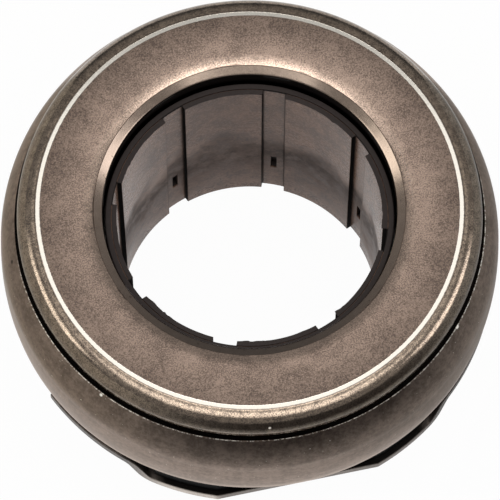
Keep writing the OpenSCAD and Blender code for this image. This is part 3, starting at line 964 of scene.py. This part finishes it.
# Pressed steel of the fork plate
PLATE_METAL = 0.8
PLATE_STAIN = (0.4, 4.0, 0.65)
PLATE_SCRATCHES = (3.0, 0.3, 1.0)
PLATE_RIM_ZONE = (0.08, 0.14)
LUG_BAND = (LUG_TOP_Z - 0.08, LUG_TOP_Z + 0.1, 0.04)
SHADE_REACH = (LOW_X - 2, LOW_X)
SHEARED_REACH = (LOW_X - 3, HIGH_X)
FLAT_CORNER = (-FLAT_HALF - 1, -FLAT_HALF + 1)
PLATE_WEIGHTS = (0.7, 0.3)
PLATE_RANGE = (0.35, 0.65)
PLATE_DARK = paint(80, 74, 71)
PLATE_LIGHT = paint(116, 108, 103)
DULL_CUT_DARK = paint(102, 93, 86)
DULL_CUT_LIGHT = paint(132, 122, 115)
HIGHLIT_CUT_DARK = paint(186, 175, 166)
HIGHLIT_CUT_LIGHT = paint(222, 212, 202)
PLATE_SHADE = paint(20, 17, 15)
PLATE_ROUGH = 0.34
PLATE_STAIN_ROUGH = 0.16
PLATE_RELIEF = (0.3, 0.00004)


def plate_steel():
    """The fork plate: dark pressed steel, mottled, with painted shade on the lugs' upper faces and a
    painted highlight on the cut edge at negative x.
    """
    steel = Finish("plate_steel", Metallic=PLATE_METAL)
    place = steel.millimetres()
    x, y, z, radius = steel.round_axis(place)
    off_round = steel.fade(PLATE_R - radius, *PLATE_RIM_ZONE)
    off_flat = steel.fade(FLAT_Y - abs(y), *PLATE_RIM_ZONE)
    rim = 1 - off_round * off_flat
    stain = steel.noise(place, *PLATE_STAIN)
    scratch = steel.noise(steel.stretched(place, PLATE_SCRATCHES), *STREAKS)
    # Painted shade on the lugs' upper faces under the outer ring, fading out before the rim.
    darker_band = steel.band(z, *LUG_BAND) * (1 - rim) * (1 - steel.fade(abs(x), *SHADE_REACH))
    sheared = rim * (1 - steel.fade(abs(x), *SHEARED_REACH))
    along_flat = steel.fade(x, *FLAT_CORNER)

    tone = steel.fade(weighed((stain, scratch), PLATE_WEIGHTS), *PLATE_RANGE)
    # The cut edge is paler along the lugs, a real sheared edge; on the round part of the rim at negative x
    # it is painted much brighter, a painted highlight.
    dull_cut = steel.mix(scratch, DULL_CUT_DARK, DULL_CUT_LIGHT)
    highlit_cut = steel.mix(scratch, HIGHLIT_CUT_DARK, HIGHLIT_CUT_LIGHT)
    steel.set("Base Color", steel.layered(
        steel.mix(tone, PLATE_DARK, PLATE_LIGHT),
        (sheared, steel.mix(along_flat, highlit_cut, dull_cut)),
        (darker_band, PLATE_SHADE),
    ))
    steel.set("Roughness", PLATE_ROUGH + PLATE_STAIN_ROUGH * stain)
    steel.bump(weighed((scratch, stain), EVEN_WEIGHTS), *PLATE_RELIEF)
    return steel.material


# Black moulding of the guide sleeve: places across a pad go from 0 at its middle to a half at a groove's
SLEEVE_SPECULAR = 0.11
SLEEVE_FINE = (2.2, 4.0, 0.7)
SLEEVE_CLOUD = (0.35, 4.0, 0.7)
SLEEVE_SMEAR = (0.12, 4.0, 0.6)
PAD_HALF = 0.5
PADS_PER_RADIAN = PAD_COUNT / 2 / math.pi
GROOVE_CORNER = PAD_HALF - half_turn(GROOVE_W, GROOVE_R) * PADS_PER_RADIAN
GROOVE_EDGE_BAND = (GROOVE_CORNER - 0.006, GROOVE_CORNER + 0.014, 0.008)
GROOVE_SIDE_BAND = (BORE_R + 0.05, GROOVE_R - 0.05, 0.03)
CREASE_BAND = (GROOVE_R + 0.01, GROOVE_R + CREASE_W - 0.01, 0.02)
BORE_ZONE = (GROOVE_R + 0.1, GROOVE_R + 0.3)
BORE_HEIGHT = (SLEEVE_TOP_Z - 0.4, SLEEVE_TOP_Z - 0.15)
UNDER_ZONE = (REAR_R - 0.6, REAR_R - 0.2)
UNDER_HEIGHT = (RING_Z, RING_Z + 1)
BAND_SWAY = 22
DARKER_BAND_SPAN = (10.0, 18.0, 4.0)
DARKER_BAND_RANGE = (0.3, 0.6)
DULL_SWAY = 16
DULL_BAND = (4.0, 21.0, 3.0)
BANDING_WEIGHTS = (0.32, 0.5)
DUST_WEIGHTS = (0.35, 0.35, 0.3)
DUST_RANGE = (0.38, 0.62)
GROOVE_EDGE_SHARE = 0.8
SLEEVE_DARK = paint(45, 40, 39)
SLEEVE_LIGHT = paint(60, 54, 53)
CREASE_SHADE = paint(8, 6, 6)
UNDER_RING_SHADE = paint(7, 6, 6)
BORE_SHEEN_DARK = paint(98, 73, 60)
BORE_SHEEN_LIGHT = paint(160, 127, 108)
BANDING_DARK = paint(40, 27, 23)
GROOVE_EDGE_SHADE = paint(16, 13, 12)
GROOVE_SIDE_SHADE = paint(10, 9, 9)
SLEEVE_ROUGH = 0.6
GLAZE_ROUGH = 0.22
GLAZE_WEIGHTS = (0.1, 0.35, 0.3, 0.4)
SLEEVE_RELIEF = (0.2, 0.00004)


def black_moulding():
    """The guide sleeve: black moulded plastic, with a warm painted sheen on the bore wall, darker bands
    part way down it, and painted shade in the crease, at the grooves and under the ring.
    """
    plastic = Finish("black_moulding", Specular_IOR_Level=SLEEVE_SPECULAR)
    place = plastic.millimetres()
    x, y, z, radius = plastic.round_axis(place)
    turn = plastic.add("ShaderNodeMath", {"operation": "ARCTAN2"}, {0: y, 1: x}) * PADS_PER_RADIAN
    across = plastic.add("ShaderNodeMath", {"operation": "PINGPONG"}, {0: turn, 1: PAD_HALF})
    fine = plastic.noise(place, *SLEEVE_FINE)
    cloud = plastic.noise(place, *SLEEVE_CLOUD)
    smear = plastic.noise(place, *SLEEVE_SMEAR)
    inside = (1 - plastic.fade(radius, *BORE_ZONE)) * (1 - plastic.fade(z, *BORE_HEIGHT))
    # Painted shade on the sleeve's outside below the outer ring.
    under_ring_shade = plastic.fade(radius, *UNDER_ZONE) * (1 - plastic.fade(z, *UNDER_HEIGHT))
    # Painted shade on the grooves' side walls.
    groove_side_shade = plastic.band(radius, *GROOVE_SIDE_BAND)
    # Painted shade in the crease round the sleeve's front edge.
    crease_shade = plastic.band(radius, *CREASE_BAND)
    # Painted shade along the edges of each groove, beside its side walls.
    groove_edge_shade = plastic.band(across, *GROOVE_EDGE_BAND)
    # Darker bands part way down the bore wall, swayed by noise and in patches.
    darker_band = plastic.band(z + BAND_SWAY * (smear - NOISE_MIDDLE), *DARKER_BAND_SPAN) * plastic.fade(cloud, *DARKER_BAND_RANGE)
    dull = plastic.band(z + DULL_SWAY * (smear - NOISE_MIDDLE), *DULL_BAND)
    banding = weighed((dull, darker_band), BANDING_WEIGHTS)
    dust = plastic.fade(weighed((fine, cloud, smear), DUST_WEIGHTS), *DUST_RANGE)

    plain = plastic.mix(fine, SLEEVE_DARK, SLEEVE_LIGHT)
    plain = plastic.layered(plain, (crease_shade, CREASE_SHADE), (under_ring_shade, UNDER_RING_SHADE))
    # The bore wall is painted warm and much lighter than the rest of the black moulding: a painted sheen.
    bore_sheen = plastic.layered(
        plastic.mix(dust, BORE_SHEEN_DARK, BORE_SHEEN_LIGHT),
        (banding, BANDING_DARK),
        (groove_edge_shade * GROOVE_EDGE_SHARE, GROOVE_EDGE_SHADE),
        (groove_side_shade, GROOVE_SIDE_SHADE),
    )
    plastic.set("Base Color", plastic.mix(inside, plain, bore_sheen))
    glaze = GLAZE_ROUGH + weighed((fine, banding, groove_edge_shade, groove_side_shade), GLAZE_WEIGHTS)
    plastic.set("Roughness", towards(SLEEVE_ROUGH, glaze, inside))
    plastic.bump(weighed((fine, smear), EVEN_WEIGHTS), *SLEEVE_RELIEF)
    return plastic.material


# Hidden pieces: two close paints, the grain's scale, and the shader's roughness and metal
INNER_FINISHES = {
    "ball_steel": (paint(196, 196, 198), paint(214, 214, 216), 0.5, 0.08, 1.0),
    "cage_plastic": (paint(176, 158, 120), paint(190, 170, 130), 0.8, 0.45, 0.0),
    "seal_rubber": (paint(30, 30, 30), paint(40, 39, 38), 1.5, 0.6, 0.0),
    "washer_steel": (paint(150, 148, 146), paint(176, 174, 172), 0.9, 0.3, 1.0),
}
INNER_NODES = {
    "ball_cage": "cage_plastic",
    "front_seal": "seal_rubber",
    "rear_seal": "seal_rubber",
    "retaining_washer": "washer_steel",
}
INNER_DETAIL = (3.0, 0.6)
INNER_RANGE = (0.35, 0.65)
INNER_GRAIN_ROUGH = 0.1
INNER_RELIEF = (0.15, 0.00002)


def plain_finish(name, dark, light, scale, roughness, metallic):
    """A hidden piece's finish: two close colours mixed by fine noise, with a little relief."""
    finish = Finish(name, Metallic=metallic)
    grain = finish.noise(finish.millimetres(), scale, *INNER_DETAIL)
    finish.set("Base Color", finish.mix(finish.fade(grain, *INNER_RANGE), dark, light))
    finish.set("Roughness", roughness + INNER_GRAIN_ROUGH * grain)
    finish.bump(grain, *INNER_RELIEF)
    return finish.material


def dress_inner_nodes():
    """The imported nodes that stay: balls, cage, seals and washer, with one finish for each kind."""
    finishes = {name: plain_finish(name, *values) for name, values in INNER_FINISHES.items()}
    for name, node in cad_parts.items():
        if name in INNER_NODES or name.startswith("ball_"):
            node.data.materials.clear()
            node.data.materials.append(finishes[INNER_NODES.get(name, "ball_steel")])


def direction(turn, elevation):
    """The unit vector (sin t cos e, cos t cos e, sin e) at a turn t from +Y to +X and an elevation e."""
    flat = math.cos(elevation)
    return Vector((math.sin(turn) * flat, math.cos(turn) * flat, math.sin(elevation)))


def add_camera():
    """A long lens at the photograph's angle, aimed just below the middle of the contact face."""
    to_camera = direction(math.pi - CAMERA_AZIMUTH, CAMERA_ELEVATION)
    right = Vector((math.cos(CAMERA_AZIMUTH), math.sin(CAMERA_AZIMUTH), 0))
    up = to_camera.cross(right)
    face = Vector((0, 0, FACE_Z * MM))
    camera = bpy.data.cameras.new("camera")
    camera.sensor_width = CAMERA_SENSOR
    camera.lens = CAMERA_LENS
    camera.clip_start = CAMERA_NEAR
    holder = bpy.data.objects.new("camera", camera)
    holder.location = face + to_camera * CAMERA_DISTANCE
    aim = face - up * AIM_BELOW + right * AIM_RIGHT
    holder.rotation_euler = (aim - holder.location).to_track_quat("-Z", "Y").to_euler()
    bpy.context.scene.collection.objects.link(holder)
    bpy.context.scene.camera = holder


def light_path_share(tree):
    """1 for rays from the lens, in a reflection or through glass, and 0 for light that falls on things."""
    path = tree.add("ShaderNodeLightPath", output="Is Camera Ray")
    outputs = path.socket.node.outputs
    glossy = Signal(tree, outputs["Is Glossy Ray"])
    through = Signal(tree, outputs["Is Transmission Ray"])
    return path + glossy + through


# Floor
FLOOR_REACH = 3.0
FLOOR_POINTS = 9
FLOOR_GLOW = 0.97
FLOOR_GREY = (0.8, 0.8, 0.8, 1)
WHITE = (1, 1, 1, 1)


def floor_finish():
    """The floor's paint: grey to the light that falls on it, and white to the lens and to reflections."""
    material = bpy.data.materials.new("floor")
    material.use_nodes = True
    nodes = material.node_tree.nodes
    nodes.remove(nodes["Principled BSDF"])
    tree = Tree(material.node_tree)
    shown = light_path_share(tree) * FLOOR_GLOW
    lit = tree.add("ShaderNodeBsdfDiffuse", sockets={"Color": FLOOR_GREY})
    white = tree.add("ShaderNodeEmission", sockets={"Color": WHITE, "Strength": 1.0})
    surface = tree.add("ShaderNodeMixShader", sockets={0: shown, 1: lit, 2: white})
    tree.feed(nodes["Material Output"].inputs["Surface"], surface)
    return material


def add_floor():
    """A pale floor at the part's rear end, an even flat grid, that keeps a faint shadow."""
    lines = np.linspace(-FLOOR_REACH, FLOOR_REACH, FLOOR_POINTS)
    across, along = np.meshgrid(lines, lines, indexing="ij")
    floor = bpy.data.objects.new("floor", open_mesh("floor", np.stack([across, along, 0 * across], -1)))
    floor.data.materials.append(floor_finish())
    bpy.context.scene.collection.objects.link(floor)


# Room: how its grey changes with the height of a direction
ROOM_HEIGHT = (0.2, 0.64)
ROOM_DARK = (0.13, 0.135, 0.14, 1.0)
ROOM_PALE = (0.42, 0.41, 0.4, 1.0)


def add_world():
    """A dim studio: grey overhead, darker towards the horizon."""
    world = bpy.data.worlds.new("studio")
    bpy.context.scene.world = world
    world.use_nodes = True
    tree = Tree(world.node_tree)
    background = world.node_tree.nodes["Background"]
    height = tree.split(tree.add("ShaderNodeTexCoord", output="Generated"))[Z]
    tree.feed(background.inputs["Color"], tree.mix(tree.fade(height, *ROOM_HEIGHT), ROOM_DARK, ROOM_PALE))
    background.inputs["Strength"].default_value = 1.0


# Softboxes: azimuth and elevation in degrees, width and height in metres, radiance and tint
LAMP_DISTANCE = 0.8
LAMPS = {
    "lamp_top": (0, 86.8, 0.63, 0.63, 0.66, (1.0, 0.97, 0.93)),
    "lamp_front": (180, 79.8, 0.6, 0.42, 2.6, (1.0, 0.97, 0.93)),
    "lamp_left": (-93, 40, 0.4, 0.26, 3.6, (1.0, 0.97, 0.9)),
    "lamp_right": (93, 40, 0.4, 0.26, 3.6, (1.0, 0.97, 0.95)),
}


def add_softbox(name, azimuth, elevation, width, height, radiance, tint):
    """A lamp that faces the part: its power is radiance * pi * area, so its surface has that radiance.

    Azimuth is measured in the camera's frame: 0 is away from the camera, and 90 is to its right.
    """
    to_lamp = direction(math.radians(azimuth) - CAMERA_AZIMUTH, math.radians(elevation))
    lamp = bpy.data.lights.new(name, "AREA")
    lamp.shape = "RECTANGLE"
    lamp.size = width
    lamp.size_y = height
    lamp.energy = radiance * math.pi * width * height
    lamp.color = tint
    holder = bpy.data.objects.new(name, lamp)
    holder.location = Vector((0, 0, FACE_Z * MM)) + to_lamp * LAMP_DISTANCE
    holder.rotation_euler = (-to_lamp).to_track_quat("-Z", "Y").to_euler()
    bpy.context.scene.collection.objects.link(holder)


def add_lamps():
    """Two softboxes overhead and one at each side, as the bright streaks on the shoulder show."""
    for name, values in LAMPS.items():
        add_softbox(name, *values)


# Painted shade: the card is seen only in reflections, where it stands for the darker floor and the part's
# own shadow round it; its rim comes closest at the right front.
# Dark card: its inner rim as turns in degrees, from the camera's right, and radii in metres
CARD_RIM = (
    (-230, 0.066), (-223, 0.06), (-200, 0.054), (-187, 0.05), (-150, 0.052), (-120, 0.064), (-90, 0.063),
    (-60, 0.05), (-30, 0.042), (0, 0.044), (15, 0.046), (43, 0.06), (50, 0.066),
)
CARD_OUT_R = 0.2
CARD_LOW = 0.001
CARD_HIGH = 0.125
CARD_BEND_R = 0.066
CARD_STEPS = 110
CARD_MIDDLE = math.radians(-69)
CARD_AWAY = (CARD_BEND_R, 0.096)
CARD_FACING = (0.4, 0.97)
CARD_LEFTWARD = (0.2, 0.9)
CARD_PALE = paint(204, 208, 211)
CARD_PALE_LEFT = paint(227, 226, 220)
CARD_DARK = paint(90, 89, 90)
CARD_ROUGH = 0.9
CARD_SPECULAR = 0.0


def card_finish():
    """The card's paint: pale by the part, and darker outwards and towards its middle."""
    card = Finish("dark_card", Roughness=CARD_ROUGH, Specular_IOR_Level=CARD_SPECULAR)
    x, y, _, radius = card.round_axis(card.add("ShaderNodeTexCoord", output="Object"))
    middle = CARD_MIDDLE + CAMERA_AZIMUTH
    facing = (x * math.cos(middle) + y * math.sin(middle)) / radius
    leftward = (x * -math.cos(CAMERA_AZIMUTH) - y * math.sin(CAMERA_AZIMUTH)) / radius
    pale = card.mix(card.fade(leftward, *CARD_LEFTWARD), CARD_PALE, CARD_PALE_LEFT)
    darkened = card.fade(radius, *CARD_AWAY) * card.fade(facing, *CARD_FACING)
    card.set("Base Color", card.mix(darkened, pale, CARD_DARK))
    return card.material


def add_dark_card():
    """A graded card in front of the part, out of the lens's sight: part of a cone that widens as it rises.

    Each point is a radius times (cos, sin) of the turn, at the height of its rim. The inner rim's
    radius is joined by straight lines between a few turns.
    """
    rim_turn, rim_radius = np.array(CARD_RIM).T
    rim_turn = np.radians(rim_turn)
    turn = np.linspace(rim_turn[0], rim_turn[-1], CARD_STEPS)
    inner = np.interp(turn, rim_turn, rim_radius)
    radius = np.stack([inner, np.full_like(inner, CARD_BEND_R), np.full_like(inner, CARD_OUT_R)])
    height = np.array([CARD_LOW, CARD_LOW, CARD_HIGH])[:, None]
    points = swing(radius, height, turn[None, :] + CAMERA_AZIMUTH)
    card = bpy.data.objects.new("dark_card", open_mesh("dark_card", points))
    card.data.materials.append(card_finish())
    card.visible_camera = False
    card.visible_shadow = False
    bpy.context.scene.collection.objects.link(card)


stand_in("contact_ring_turned", turned(contact_ring_section()),
         "contact_ring", "rotor", ground_steel())
stand_in("outer_ring_turned", turned(outer_ring_section()),
         "outer_ring", "carrier", satin_steel())
stand_in("guide_sleeve_moulded", sleeve_points(),
         "guide_sleeve", "carrier", black_moulding())
stand_in("fork_plate_pressed", plate_points(),
         "fork_plate", "carrier", plate_steel())
dress_inner_nodes()
add_camera()
add_floor()
add_world()
add_lamps()
add_dark_card()
bpy.context.scene.view_settings.view_transform = "Standard"
